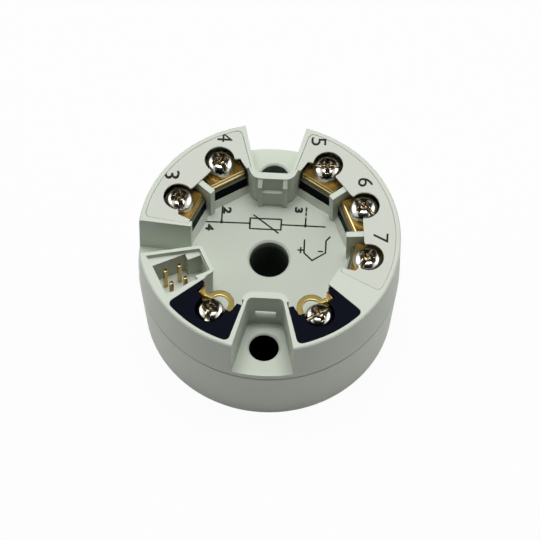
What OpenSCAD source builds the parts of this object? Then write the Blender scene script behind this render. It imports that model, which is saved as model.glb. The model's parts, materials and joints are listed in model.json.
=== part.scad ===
// Round head transmitter for a temperature sensor: a potted housing in two shells,
// seven screw terminals around an open middle, a service socket and two lug loops.
// The origin is at the centre of the base, +Z is up, and terminals 1 and 2 face -Y.

/* [Housing] */
// Outer diameter of the housing
body_d = 44; // [43:0.5:48]
// Height from the base to the top rim
body_h = 24.1; // [23.5:0.1:28]
// Height of the lower shell, up to the parting line
lower_h = 14.2; // [13.4:0.1:14.6]
// Diameter of the lower shell at its base
base_d = 42; // [41:0.25:43.5]
// Radius of the rounded bottom edge
base_round = 1.2; // [0.4:0.1:1.5]
// Thickness of the outer walls
wall = 1.6; // [1.3:0.1:2]
// Thickness of the closed bottom
bottom_t = 1.6; // [1:0.1:2.4]
// Thickness of the upper shell's floor in the open middle
floor_t = 2.2; // [1.8:0.1:2.6]
// Thickness of the floor in the two mounting notches and the side gap
notch_floor_t = 1.3; // [1:0.1:1.6]
// Bevel along each edge of the parting line
seam_bevel = 0.2; // [0.1:0.05:0.4]
// Bevel along the top rim
rim_bevel = 0.25; // [0.1:0.05:0.4]

/* [Open middle] */
// Diameter of the open middle between the terminals
recess_d = 26.4; // [26:0.1:26.8]
// Diameter of the centre bore for the sensor wires
bore_d = 6.7; // [5:0.1:8]
// Bevel at both ends of the centre bore
bore_bevel = 0.35; // [0.1:0.05:0.6]

/* [Mounting] */
// Distance between the two mounting holes
mount_pitch = 33; // [32.5:0.1:33.5]
// Diameter of a mounting hole
mount_d = 5; // [4:0.1:5.4]
// Wall of the tubes round the bore and the mounting holes
tube_wall = 1.1; // [0.8:0.1:1.4]
// Bevel at both ends of a mounting hole
mount_bevel = 0.3; // [0.1:0.05:0.5]
// Half angle of the mounting notches
notch_a = 13.6; // [12.5:0.1:14]
// Distance of the front notch's end wall from the centre
front_notch_r = 11.95; // [11.6:0.05:12.3]
// Distance of the back notch's end wall from the centre
back_notch_r = 12.25; // [11.8:0.05:12.4]
// Thickness of a notch's side walls in the open middle
notch_wall = 0.85; // [0.6:0.05:1]
// Thickness of a notch's end wall
notch_end = 1.2; // [0.9:0.05:1.4]
// Radius of the corners at the end of a notch
notch_round = 1; // [0.5:0.1:1.5]
// Width of the latch window in the front end wall
window_w = 3.5; // [2:0.1:4]
// Height of the latch window
window_h = 2.2; // [1:0.1:3]
// Height of the latch window's sill over the open middle's floor
window_up = 1; // [0.5:0.1:2]
// Width of each guide rib on the back end wall
rib_w = 0.75; // [0.5:0.05:1.1]
// Distance between the middles of the two guide ribs
rib_pitch = 4.2; // [3:0.1:4.6]
// How far the guide ribs stand out from the back end wall
rib_out = 1; // [0.6:0.05:1.2]
// How far a guide rib's tip lies below the rim
rib_bevel_drop = 1.5; // [0.5:0.1:2]
// How far the latch ledge stands out between the ribs
ledge_out = 0.65; // [0.3:0.05:0.8]
// Height of the latch ledge over the floor
ledge_h = 4; // [2:0.1:5]

/* [Terminals] */
// Distance of the terminal screws from the centre
terminal_r = 16.9; // [16.8:0.05:17.2]
// Angle from the notch axis to the first terminal on each side
first_a = 32.4; // [32:0.1:33]
// Angle between neighbouring terminals
pitch_a = 34; // [33.5:0.1:34.5]
// Thickness of the walls between terminals
divider_t = 1; // [0.7:0.05:1.2]
// Distance of the tip of a dividing wall from the centre
divider_tip_r = 12.9; // [12.6:0.05:13.2]
// Half angle of the pocket walls at the ends of a row of terminals
pocket_a = 14.7; // [14.5:0.1:15]
// Half angle of a terminal carrier
carrier_a = 13.8; // [13.6:0.1:14.2]
// Distance of a carrier's front face from the centre
carrier_front_r = 13.6; // [13.55:0.05:13.8]
// Distance of the foot of the sill in front of a carrier
sill_foot_r = 12.8; // [12.6:0.05:12.9]
// Distance of the sill's top edge from the centre
sill_top_r = 13.35; // [13.2:0.05:13.4]
// Height of the sill over the floor
sill_h = 1.4; // [0.8:0.1:1.8]

/* [Contact plates] */
// Distance of the plates' front edge from the centre
plate_front_r = 14.15; // [14:0.05:14.3]
// Width of a contact plate
plate_w = 6.6; // [6:0.1:6.7]
// Length of a contact plate along the radius
plate_l = 5; // [4.6:0.1:5.2]
// Thickness of the fixed contact plate
contact_t = 0.8; // [0.5:0.05:1]
// Thickness of the clamp plate
clamp_t = 0.7; // [0.5:0.05:0.8]
// How far a clamp plate's front edge lies behind the fixed plate's
clamp_back = 0.1; // [0:0.05:0.3]
// Diameter of the threaded collar under the fixed plate
collar_d = 4; // [3.8:0.1:4.4]
// Length of the threaded collar
collar_l = 2; // [1.5:0.1:2.2]
// Width of a solder pin
pin_w = 1; // [0.6:0.05:1.1]
// Thickness of a solder pin
pin_t = 0.6; // [0.4:0.05:0.7]
// Distance of the solder pins from the centre, along the radius
pin_r = 15.3; // [15.25:0.05:15.35]
// Distance of the solder pins to the side of the radius
pin_side = 2.45; // [2.4:0.05:2.5]

/* [Screws] */
// Thread diameter
screw_d = 3; // [2.5:0.1:3]
// Head diameter
head_d = 4.8; // [4.2:0.1:4.8]
// Height of the head
head_h = 2.05; // [1.9:0.05:2.2]
// Height of the rounded edge of the head
head_round = 0.7; // [0.3:0.05:0.9]
// Length of the shank under the head
shank_l = 5; // [4.8:0.1:5.2]
// Width of the slot in the head
slot_w = 0.75; // [0.4:0.05:0.9]
// Depth of the slot
slot_depth = 0.7; // [0.4:0.05:0.9]
// Length of the cross recess from tip to tip
cross_l = 2.6; // [2:0.1:3]
// Width of the cross recess
cross_w = 0.85; // [0.6:0.05:1]
// Depth of the cross recess
cross_depth = 1.2; // [0.8:0.05:1.4]

/* [Label plates] */
// Thickness of a label plate
label_t = 0.4; // [0.3:0.05:0.5]
// How far a label plate's face lies below the rim
label_drop = 0.05; // [0:0.05:0.2]
// Width of the housing's rim outside a label plate
label_rim = 0.85; // [0.7:0.05:1]
// Half angle of a label plate beyond its last terminal
label_a = 16.3; // [16:0.1:16.6]
// Distance of a label plate's inner edge from the centre
label_in_r = 13.7; // [13.5:0.05:14]
// Radius of a label plate's outer corners
label_round = 0.9; // [0.4:0.05:1.2]
// Diameter of the round opening over a screw
opening_d = 5.05; // [5.05:0.05:5.4]
// How far the middle of that opening lies outside its screw
opening_out = 0.15; // [0:0.05:0.2]
// Width of the open mouth in front of a screw
mouth_w = 6.2; // [6:0.05:6.4]
// Distance from the centre at which the mouth narrows
mouth_r = 15.5; // [15.4:0.05:15.8]
// Distance of a label plate's edge between two terminals
tongue_r = 15.8; // [15.5:0.05:15.9]

/* [Front carriers] */
// Width of the housing's rim outside a front carrier
insert_rim = 0.8; // [0.7:0.05:1]
// Distance of a front carrier's inner end from the centre
insert_in_r = 14; // [13.8:0.05:14.2]
// Half angle of a front carrier on the side of the notch
insert_near_a = 16.3; // [16:0.1:16.5]
// Half angle of a front carrier on the other side
insert_far_a = 17.4; // [17:0.1:17.6]
// Front edge of the fixed plate in a front carrier
front_plate_r = 14.9; // [14.85:0.05:15]
// Width of a clamp plate in a front carrier
front_clamp_w = 4.3; // [3.8:0.05:4.4]
// Length of a clamp plate in a front carrier
front_clamp_l = 3.3; // [3.1:0.05:3.4]
// Radius of the lug loop, to the middle of its strip
loop_r = 2; // [1.8:0.05:2.1]
// Width of the lug loop's strip
loop_w = 1; // [0.8:0.05:1.1]
// Distance of the lug loop's middle from the centre
loop_mid_r = 14.3; // [14.2:0.05:14.35]
// Width of the upright ear that carries the lug loop
ear_w = 1.7; // [1.7:0.1:2]
// Thickness of the ear and of the loop's strip
ear_t = 0.5; // [0.4:0.05:0.55]
// How far the ear's top lies below the rim
ear_drop = 0.3; // [0.1:0.1:1.5]
// Length of the loop's free end, which turns outwards
loop_end_l = 0.8; // [0.6:0.05:0.9]
// Width of the free end
loop_end_w = 0.6; // [0.5:0.05:0.65]
// Distance of the free end's outer side from the terminal's radius
loop_end_out = 2.9; // [2.85:0.05:2.95]

/* [Service socket] */
// Direction of the service socket from the centre
socket_a = -153.5; // [-154:0.1:-153]
// Half angle of the socket block on the side of the gap
socket_half_a = 14.4; // [14.2:0.1:14.6]
// Half angle of the socket block's front side in the open middle
socket_front_a = 12.6; // [12:0.1:13]
// Distance of the block's inner end from the centre
block_in_r = 11.1; // [11:0.05:11.2]
// Distance of the flat face beside terminal 7 from the centre
flat_r = 13.24; // [13.2:0.02:13.3]
// Direction of that flat face
flat_a = -28.6; // [-30:0.1:-28]
// Width of the cut that makes the flat face
flat_w = 6.4; // [6:0.1:6.6]
// Distance of the socket's inner end from the centre
socket_in_r = 14.1; // [14:0.05:14.2]
// Length of the socket
socket_l = 5.9; // [5.6:0.05:6]
// Width of the socket
socket_w = 5.8; // [5.4:0.05:6]
// Depth of the socket from the rim to the pins' base
socket_depth = 6.2; // [5.5:0.05:6.4]
// Length of the key recess
key_l = 2.3; // [1.8:0.05:2.4]
// Width of the key recess
key_w = 3.3; // [2.5:0.05:3.6]
// Depth of the step inside the block's rim
step_depth = 0.95; // [0.5:0.05:1.2]
// Distance of the step's outer side from the centre
step_out_r = 20.4; // [20.2:0.05:20.6]
// Width of the block's rim along the gap
block_rim = 0.6; // [0.5:0.05:0.8]
// Distance between neighbouring contact pins
contact_pitch = 2.54; // [2:0.02:2.6]
// Side of a square contact pin
contact_w = 0.64; // [0.4:0.02:0.7]

/* [Electronics] */
// Thickness of the circuit board
board_t = 1.6; // [1:0.1:1.8]
// Height of the board's underside over the bottom of the housing
board_z = 10.4; // [10:0.1:10.6]
// Width of the shelf that carries the board
shelf_w = 1.2; // [0.8:0.1:1.4]
// Width of the upper shell's skirt, which holds the board down
skirt_w = 1; // [0.7:0.1:1.1]
// Width of the transformer's core
core_w = 8; // [7:0.1:8.4]
// Length of the transformer's core
core_l = 9; // [8:0.1:9.5]
// Height of the transformer's core
core_h = 5; // [4:0.1:5.5]
// Width of the core's middle leg
leg_w = 2.4; // [2:0.1:2.8]
// Thickness of the core's outer legs and yokes
yoke_t = 1.1; // [0.8:0.05:1.2]
// Thickness of the coil round the middle leg
coil_t = 1.1; // [0.8:0.05:1.2]
// Height of the coil
coil_h = 2.6; // [2:0.1:2.8]
// Distance of the transformer from the centre
transformer_x = 10; // [9.9:0.05:10.2]
// Side of the microcontroller's case
mcu_w = 7; // [6:0.1:7.4]
// Height of the chips' cases
chip_h = 1.4; // [1:0.1:1.6]
// Width of a converter chip
chip_w = 4; // [3.5:0.1:4.4]
// Length of a converter chip
chip_l = 5; // [4:0.1:5.4]
// Distances of the microcontroller from the middle, along X and Y
mcu_x = 10.2; // [9.8:0.1:10.6]
mcu_y = 2.5; // [2:0.1:3]
// Distances of the converter chips from the middle, along X and Y
chip_x = 8.4; // [8:0.1:8.8]
chip_y = 6.8; // [6.6:0.1:7.2]
// Distance of the storage capacitors from the centre
cap_r = 11; // [10:0.1:12]
// Angle between neighbouring capacitors
cap_a = 34; // [30:1:38]
// Diameter of a storage capacitor
cap_d = 4; // [3.5:0.1:4.2]
// Height of a storage capacitor
cap_h = 5; // [4:0.1:5.5]

/* [Hidden] */

// Clearance round a fixed piece in its seat
fit = 0.05;
// Gap between pieces that move past each other
slip = 0.1;
// Radial clearance of the thread in its collar
thread_fit = 0.06;
// How far cuts run past the faces they open
over = 1;
// How deep an added wall is rooted in what carries it
root = 0.2;
// Angle between the points of a long arc and of a small corner
arc_step = 3;
corner_step = 15;
round_fn = 96;
small_fn = 48;

// How far a sill runs into the wall at the end of its row
sill_root_a = 2;

// Directions of the screws' slots, as the screws happen to stand
slot_as = [38, 12, -25, 60, 20, 75, 47];

body_r = body_d / 2;
base_r = base_d / 2;
recess_r = recess_d / 2;
recess_z = lower_h + floor_t;
notch_z = lower_h + notch_floor_t;
fit_a = atan(fit / recess_r);
far_r = body_r + over;

// Heights of the terminal stack, from the rim down
head_z = body_h - head_h;
clamp_z = head_z - slip - clamp_t;
contact_z = clamp_z - slip - contact_t;
label_top = body_h - label_drop;
label_z = label_top - label_t;
opening_r = terminal_r + opening_out;
shank_end_z = head_z - shank_l;
label_r = body_r - label_rim;
insert_r = body_r - insert_rim;
ear_top_z = body_h - ear_drop;
pocket_r = body_r - wall;

// The board rests on a shelf of the lower shell and passes solder pins
cavity_r = base_r - wall;
shelf_r = cavity_r - shelf_w;
board_top = board_z + board_t;
solder_end_z = board_z - pin_t;
bore_tube_r = bore_d / 2 + tube_wall;
mount_tube_r = mount_d / 2 + tube_wall;
mount_r = mount_pitch / 2;

// The row on the left holds terminals 3 and 4, the row on the right 5 to 7
divider_share = 0.53;
function terminal_a(n) =
    n == 1 ? -90 + first_a :
    n == 2 ? -90 - first_a :
    n <= 4 ? 90 + first_a + (4 - n) * pitch_a :
    90 - first_a - (n - 5) * pitch_a;
// Dividing walls stand a little past the middle, seen from the back notch
divider_as = [terminal_a(4) + divider_share * pitch_a,
    terminal_a(5) - divider_share * pitch_a,
    terminal_a(6) - divider_share * pitch_a];

// Points of an arc about c, from angle a to angle b, with or without its ends
function arc(c, r, a, b, step) =
    let (n = max(1, ceil(abs(b - a) / step)))
    r == 0 ? [c] : [for (i = [0 : n]) c + polar(r, a + (b - a) * i / n)];
function arc_inside(r, a, b) =
    let (n = max(1, ceil(abs(b - a) / arc_step)))
    [for (i = [1 : 1 : n - 1]) polar(r, a + (b - a) * i / n)];
function polar(r, a) = r * [cos(a), sin(a)];
function unit(v) = v / norm(v);
function heading(v) = atan2(v[1], v[0]);
function turn(a) = a - 360 * round(a / 360);

// Outline of a ring sector, with corner radii q0 inside and q1 outside
function sector(r0, r1, a0, a1, q0, q1) =
    let (d0 = asin(q0 / (r0 + q0)), d1 = asin(q1 / (r1 - q1)))
    concat(
        arc(polar(r1 - q1, a0 + d1), q1, a0 - 90, a0 + d1, corner_step),
        arc_inside(r1, a0 + d1, a1 - d1),
        arc(polar(r1 - q1, a1 - d1), q1, a1 - d1, a1 + 90, corner_step),
        arc(polar(r0 + q0, a1 - d0), q0, a1 + 90, a1 - d0 + 180, corner_step),
        arc_inside(r0, a1 - d0, a0 + d0),
        arc(polar(r0 + q0, a0 + d0), q0, a0 + d0 + 180, a0 + 270, corner_step));

// Outline of a wedge along +X, its sides t outside the half angle a
function wedge(x0, x1, a, t) = [
    [x0, -x0 * tan(a) - t],
    [x1, -x1 * tan(a) - t],
    [x1, x1 * tan(a) + t],
    [x0, x0 * tan(a) + t]];

// The corner at p between its neighbours u and v, rounded to radius q
function corner(p, u, v, q) =
    let (
        au = unit(u - p),
        av = unit(v - p),
        half = acos(au * av) / 2,
        c = p + unit(au + av) * q / sin(half),
        start = heading(p + au * q / tan(half) - c),
        end = heading(p + av * q / tan(half) - c))
    q == 0 ? [p] : arc(c, q, start, start + turn(end - start), corner_step);
function rounded(points, radii) =
    let (n = len(points))
    [for (i = [0 : n - 1])
        each corner(points[i], points[(i + n - 1) % n], points[(i + 1) % n], radii[i])];

// Angles at which a row of pockets starts and ends, and at which the side gap starts
function row_start(n) = terminal_a(n) - pocket_a;
function row_end(n) = terminal_a(n) + pocket_a;
gap_start_a = terminal_a(3) + first_a - notch_a;

module at_angle(a) {
    rotate([0, 0, a])
        children();
}

module at_terminal(n) {
    at_angle(terminal_a(n))
        children();
}

// Extrudes a plan from height z0 to height z1
module slab(z0, z1) {
    translate([0, 0, z0])
        linear_extrude(z1 - z0)
            children();
}

module disc(r, z0, z1) {
    translate([0, 0, z0])
        cylinder(r = r, h = z1 - z0, $fn = round_fn);
}

// A straight hole from z0 to z1, bevelled at z_open where it meets a face
module bevelled_hole(d, bevel, z0, z1, z_open) {
    translate([0, 0, z0])
        cylinder(d = d, h = z1 - z0, $fn = round_fn);
    translate([0, 0, z_open - bevel])
        cylinder(d1 = d, d2 = d + 4 * bevel, h = 2 * bevel, $fn = round_fn);
}

module both_mounts() {
    for (side = [-1, 1])
        translate([0, side * mount_r, 0])
            children();
}

// Plans of the notches and of the walls that stand round them
module notch_plan(a, r) {
    at_angle(a)
        polygon(rounded(wedge(r, far_r, notch_a, 0), [notch_round, 0, 0, notch_round]));
}

module notch_wall_plan(a, r) {
    corner_r = notch_round + notch_wall;
    at_angle(a)
        polygon(rounded(
            wedge(r - notch_end, recess_r + over, notch_a, notch_wall / cos(notch_a)),
            [corner_r, 0, 0, corner_r]));
}

// Plan of the block that holds the service socket, from the middle outwards
module block_plan() {
    x1 = far_r + over;
    at_angle(socket_a)
        polygon(rounded([
            [block_in_r, -block_in_r * tan(socket_half_a)],
            [x1, -x1 * tan(socket_half_a)],
            [x1, x1 * tan(socket_front_a)],
            [block_in_r, block_in_r * tan(socket_front_a)]],
            [block_rim, 0, 0, block_rim]));
}

// Plan of the step inside the block's rim
module step_plan() {
    x0 = block_in_r + block_rim;
    at_angle(socket_a)
        polygon([
            [x0, block_rim - x0 * tan(socket_half_a)],
            [step_out_r, block_rim - step_out_r * tan(socket_half_a)],
            [step_out_r, step_out_r * tan(socket_front_a) - block_rim],
            [x0, x0 * tan(socket_front_a) - block_rim]]);
}

module socket_plan(grow) {
    at_angle(socket_a)
        translate([socket_in_r - grow, -socket_w / 2 - grow])
            square([socket_l + 2 * grow, socket_w + 2 * grow]);
}

module key_plan() {
    at_angle(socket_a)
        translate([socket_in_r - key_l, -key_w / 2])
            square([key_l + root, key_w]);
}

// Plan of the four contact pins, or of their holes
module contact_pin_plan(grow) {
    side = contact_w + 2 * grow;
    at_angle(socket_a)
        translate([socket_in_r + socket_l / 2, 0])
            for (i = [-1, 1], j = [-1, 1])
                translate([i * contact_pitch / 2, j * contact_pitch / 2])
                    square(side, center = true);
}

module gap_plan() {
    difference() {
        polygon(sector(recess_r - root, far_r, gap_start_a, 360 + socket_a, 0, 0));
        block_plan();
    }
}

module divider_plan() {
    for (a = divider_as)
        at_angle(a)
            translate([divider_tip_r, -divider_t / 2])
                square([pocket_r + root - divider_tip_r, divider_t]);
}

// Plan of the cut that lowers the dividers' tips to the underside of the labels
module divider_top_plan() {
    for (a = divider_as)
        at_angle(a)
            translate([divider_tip_r - over, -divider_t])
                square([label_in_r + over - divider_tip_r, 2 * divider_t]);
}

// Plan of the pockets for a row of terminals, from terminal n0 round to n1
module row_plan(n0, n1) {
    difference() {
        polygon(sector(recess_r - root, pocket_r, row_start(n0), row_end(n1), 0, 0));
        divider_plan();
    }
}

// Plan of a front carrier; its far side is the one away from the notch
module insert_plan(n, in_r, grow, grow_a) {
    near_a = insert_near_a + grow_a;
    far_a = insert_far_a + grow_a;
    start_a = terminal_a(n) - (n == 1 ? near_a : far_a);
    end_a = terminal_a(n) + (n == 1 ? far_a : near_a);
    polygon(sector(in_r, insert_r + grow, start_a, end_a, 0, label_round));
}

// Everything that is open down to the floor of the middle
module open_plan() {
    difference() {
        circle(r = recess_r, $fn = round_fn);
        notch_wall_plan(90, back_notch_r);
        notch_wall_plan(-90, front_notch_r);
        block_plan();
        divider_plan();
    }
    at_angle(flat_a)
        translate([recess_r - over, -flat_w / 2])
            square([flat_r - recess_r + over, flat_w]);
    row_plan(4, 3);
    row_plan(7, 5);
    for (n = [1, 2])
        insert_plan(n, recess_r - root, fit, fit_a);
}

// Plan of a label plate before its openings are cut
module label_blank_plan(n0, n1, grow, grow_a) {
    start_a = terminal_a(n0) - label_a - grow_a;
    end_a = terminal_a(n1) + label_a + grow_a;
    polygon(sector(label_in_r - grow, label_r + grow, start_a, end_a, 0, label_round));
}

// The opening over a screw, with its mouth towards the middle
module opening_plan() {
    translate([opening_r, 0])
        circle(d = opening_d, $fn = round_fn);
    mouth_plan(recess_r - over, mouth_r, mouth_w / 2);
}

// The mouth is w wide to each side from x0 to x1 and narrows towards the opening's middle
module mouth_plan(x0, x1, w) {
    polygon([[x0, -w], [x1, -w], [opening_r, 0], [x1, w], [x0, w]]);
}

// A solder pin of a contact plate, or the slot it passes
module solder_pin(n, z0, z1, grow) {
    side = n == 1 ? -pin_side : pin_side;
    at_terminal(n)
        translate([pin_r - pin_t / 2 - grow, side - pin_w / 2 - grow, z0])
            cube([pin_t + 2 * grow, pin_w + 2 * grow, z1 - z0]);
}

// Outer form of the upper shell, with its bevelled edges
module upper_blank() {
    rotate_extrude($fn = round_fn)
        polygon([
            [0, lower_h],
            [body_r - seam_bevel, lower_h],
            [body_r, lower_h + seam_bevel],
            [body_r, body_h - rim_bevel],
            [body_r - rim_bevel, body_h],
            [0, body_h]]);
}

// The skirt locates the upper shell in the lower one and holds the board down
module skirt() {
    difference() {
        disc(cavity_r - fit, board_top + fit, lower_h + root);
        disc(cavity_r - fit - skirt_w, board_top, lower_h + over);
        both_mounts()
            disc(mount_tube_r + fit, board_top, lower_h + over);
        at_angle(socket_a)
            translate([socket_in_r, -socket_w / 2, board_top])
                cube([socket_l, socket_w, lower_h - board_top + over]);
    }
}

// Angle from a terminal to the wall or divider in which its sill ends
function sill_end_a(n, side) =
    let (ends = [for (a = divider_as) side * (a - terminal_a(n))],
        near = [for (a = ends) if (a > 0 && a < pitch_a) a])
    len(near) > 0 ? near[0] : pocket_a + sill_root_a;

// The sloping sill along the foot of each carrier
module sills() {
    back_r = carrier_front_r - fit;
    slope = (sill_top_r - sill_foot_r) / sill_h;
    for (n = [3 : 7]) {
        w0 = sill_top_r * tan(sill_end_a(n, -1));
        w1 = sill_top_r * tan(sill_end_a(n, 1));
        at_terminal(n)
            translate([0, w1, 0])
                rotate([90, 0, 0])
                    linear_extrude(w0 + w1)
                        polygon([
                            [sill_foot_r - root * slope, recess_z - root],
                            [sill_top_r, recess_z + sill_h],
                            [back_r, recess_z + sill_h],
                            [back_r, recess_z - root]]);
    }
}

// Two guide ribs and a latch ledge on the middle's side of the back notch
module guide_ribs() {
    face = back_notch_r - notch_end;
    slope = (rib_bevel_drop - rim_bevel) / rib_out;
    for (side = [-1, 1])
        translate([side * rib_pitch / 2 - rib_w / 2, 0, 0])
            rotate([90, 0, 90])
                linear_extrude(rib_w)
                    polygon([
                        [face + root, recess_z - root],
                        [face - rib_out, recess_z - root],
                        [face - rib_out, body_h - rib_bevel_drop],
                        [face + root, body_h - rib_bevel_drop + (rib_out + root) * slope]]);
    translate([-rib_pitch / 2, face - ledge_out, recess_z - root])
        cube([rib_pitch, ledge_out + root, ledge_h + root]);
}

module upper_housing() {
    top_z = body_h + over;
    color([0.80, 0.83, 0.78]) {
        difference() {
            union() {
                upper_blank();
                skirt();
            }
            slab(recess_z, top_z)
                open_plan();
            slab(notch_z, top_z) {
                notch_plan(90, back_notch_r);
                notch_plan(-90, front_notch_r);
                gap_plan();
            }
            slab(label_z, top_z) {
                label_blank_plan(4, 3, fit, fit_a);
                label_blank_plan(7, 5, fit, fit_a);
                divider_top_plan();
            }
            slab(body_h - step_depth, top_z)
                step_plan();
            slab(body_h - socket_depth, top_z)
                key_plan();
            slab(recess_z, top_z)
                socket_plan(0);
            slab(lower_h - over, recess_z + over)
                contact_pin_plan(fit);
            for (n = [1 : 7])
                solder_pin(n, lower_h - over, recess_z + over, fit);
            bevelled_hole(bore_d, bore_bevel, board_top, recess_z + over, recess_z);
            both_mounts()
                bevelled_hole(mount_d, mount_bevel, board_top, notch_z + over, notch_z);
            translate([-window_w / 2, -front_notch_r - over, recess_z + window_up])
                cube([window_w, notch_end + 2 * over, window_h]);
        }
        sills();
        guide_ribs();
    }
}

// Outer form of the lower shell: a slight taper on a rounded bottom edge
module lower_blank() {
    rotate_extrude($fn = round_fn)
        polygon(concat(
            [[0, 0]],
            arc([base_r - base_round, base_round], base_round, -90, 0, corner_step),
            [[body_r, lower_h - seam_bevel],
            [body_r - seam_bevel, lower_h],
            [0, lower_h]]));
}

module lower_housing() {
    color([0.70, 0.73, 0.70])
        difference() {
            union() {
                difference() {
                    lower_blank();
                    disc(shelf_r, bottom_t, board_z + over);
                    disc(cavity_r, board_z, lower_h + over);
                }
                disc(bore_tube_r, bottom_t - root, lower_h);
                both_mounts()
                    disc(mount_tube_r, bottom_t - root, lower_h);
            }
            mirror([0, 0, 1])
                bevelled_hole(bore_d, bore_bevel, -lower_h - over, over, 0);
            mirror([0, 0, 1])
                both_mounts()
                    bevelled_hole(mount_d, mount_bevel, -lower_h - over, over, 0);
        }
}

module label_plate(n0, n1) {
    color([0.84, 0.85, 0.82])
        slab(label_z, label_top)
            difference() {
                label_blank_plan(n0, n1, 0, 0);
                for (n = [min(n0, n1) : max(n0, n1)])
                    at_terminal(n)
                        opening_plan();
                for (a = divider_as)
                    at_angle(a)
                        translate([recess_r - over, -mouth_w / 2])
                            square([tongue_r - recess_r + over, mouth_w]);
            }
}

// Holes of a carrier for the collar, the screw's shank and the solder pin
module carrier_holes(n) {
    at_terminal(n)
        translate([terminal_r, 0, 0]) {
            translate([0, 0, contact_z - collar_l - slip])
                cylinder(d = collar_d + 2 * slip, h = collar_l + slip + over, $fn = small_fn);
            translate([0, 0, recess_z - over])
                cylinder(d = screw_d + 4 * slip, h = body_h - recess_z, $fn = small_fn);
        }
    solder_pin(n, recess_z - over, contact_z + over, fit);
}

module carrier(n) {
    color([0.05, 0.05, 0.06])
        difference() {
            slab(recess_z, contact_z)
                intersection() {
                    at_terminal(n)
                        polygon(wedge(carrier_front_r, far_r, carrier_a, 0));
                    circle(r = pocket_r - fit, $fn = round_fn);
                }
            carrier_holes(n);
        }
}

module front_carrier(n) {
    color([0.04, 0.04, 0.12])
        difference() {
            slab(recess_z, body_h)
                insert_plan(n, insert_in_r, 0, 0);
            slab(contact_z, body_h + over) {
                at_terminal(n)
                    opening_plan();
                at_ear(n)
                    translate([recess_r - over, -ear_y - fit])
                        square([ear_x + ear_w + fit - recess_r + over, ear_t + fit + root]);
            }
            carrier_holes(n);
        }
}

// Collar and solder pin under a contact plate, and its threaded hole
module contact_foot(n) {
    difference() {
        union() {
            children();
            at_terminal(n)
                translate([terminal_r, 0, contact_z - collar_l])
                    cylinder(d = collar_d, h = collar_l + contact_t, $fn = small_fn);
            solder_pin(n, solder_end_z, contact_z + contact_t, 0);
        }
        at_terminal(n)
            translate([terminal_r, 0, contact_z - collar_l - over])
                cylinder(d = screw_d + 2 * thread_fit, h = collar_l + contact_t + 2 * over,
                    $fn = small_fn);
    }
}

module contact_plate(n) {
    color([0.80, 0.65, 0.25])
        contact_foot(n)
            at_terminal(n)
                translate([plate_front_r, -plate_w / 2, contact_z])
                    cube([plate_l, plate_w, contact_t]);
}

// The ear stands in the mouth's side wall, on the side away from the notch
ear_y = mouth_w / 2 + ear_t;
ear_x = insert_in_r - root;
module at_ear(n) {
    at_terminal(n)
        mirror([0, n == 1 ? 1 : 0, 0])
            children();
}

module front_contact_plate(n) {
    plate_y = mouth_w / 2 - slip;
    color([0.80, 0.65, 0.25])
        contact_foot(n)
            at_ear(n)
                slab(contact_z, contact_z + contact_t) {
                    intersection() {
                        union() {
                            translate([opening_r, 0])
                                circle(d = opening_d - 2 * slip, $fn = small_fn);
                            mouth_plan(front_plate_r, mouth_r - slip, plate_y);
                        }
                        translate([front_plate_r, -mouth_w / 2])
                            square([body_r - front_plate_r, mouth_w]);
                    }
                    translate([ear_x, -ear_y])
                        square([ear_w, ear_y - plate_y + root]);
                }
}

// Flat strip bent into an open loop, on an ear that stands on the contact plate
module lug_loop(n) {
    loop_top = head_z - slip;
    inner_r = loop_r - loop_w / 2;
    outer_r = loop_r + loop_w / 2;
    end_r = loop_mid_r + loop_end_l;
    color([0.83, 0.68, 0.28])
        at_ear(n) {
            translate([ear_x, -ear_y, contact_z + contact_t])
                cube([ear_w, ear_t, ear_top_z - contact_z - contact_t]);
            slab(loop_top - ear_t, loop_top) {
                translate([loop_mid_r, 0])
                    difference() {
                        circle(r = outer_r, $fn = small_fn);
                        circle(r = inner_r, $fn = small_fn);
                        translate([0, -2 * loop_r])
                            square([2 * loop_r, 4 * loop_r]);
                    }
                polygon([
                    [loop_mid_r - loop_w / 2, root - ear_y],
                    [loop_mid_r + loop_w / 2, root - ear_y],
                    [loop_mid_r, -inner_r],
                    [loop_mid_r - loop_w / 2, -loop_r]]);
                polygon([
                    [loop_mid_r - root, loop_r],
                    [loop_mid_r, inner_r],
                    [end_r, loop_end_out - loop_end_w],
                    [end_r, loop_end_out],
                    [loop_mid_r, outer_r]]);
            }
        }
}

module clamp_hole(n) {
    at_terminal(n)
        translate([terminal_r, 0, clamp_z - over])
            cylinder(d = screw_d + 2 * slip, h = clamp_t + 2 * over, $fn = small_fn);
}

module clamp_plate(n) {
    front = plate_front_r + clamp_back;
    color([0.85, 0.70, 0.30])
        difference() {
            at_terminal(n)
                translate([front, -plate_w / 2, clamp_z])
                    cube([plate_l - clamp_back, plate_w, clamp_t]);
            clamp_hole(n);
        }
}

module front_clamp_plate(n) {
    color([0.85, 0.70, 0.30])
        difference() {
            at_terminal(n)
                translate([front_plate_r + slip, -front_clamp_w / 2, clamp_z])
                    cube([front_clamp_l, front_clamp_w, clamp_t]);
            clamp_hole(n);
        }
}

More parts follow.
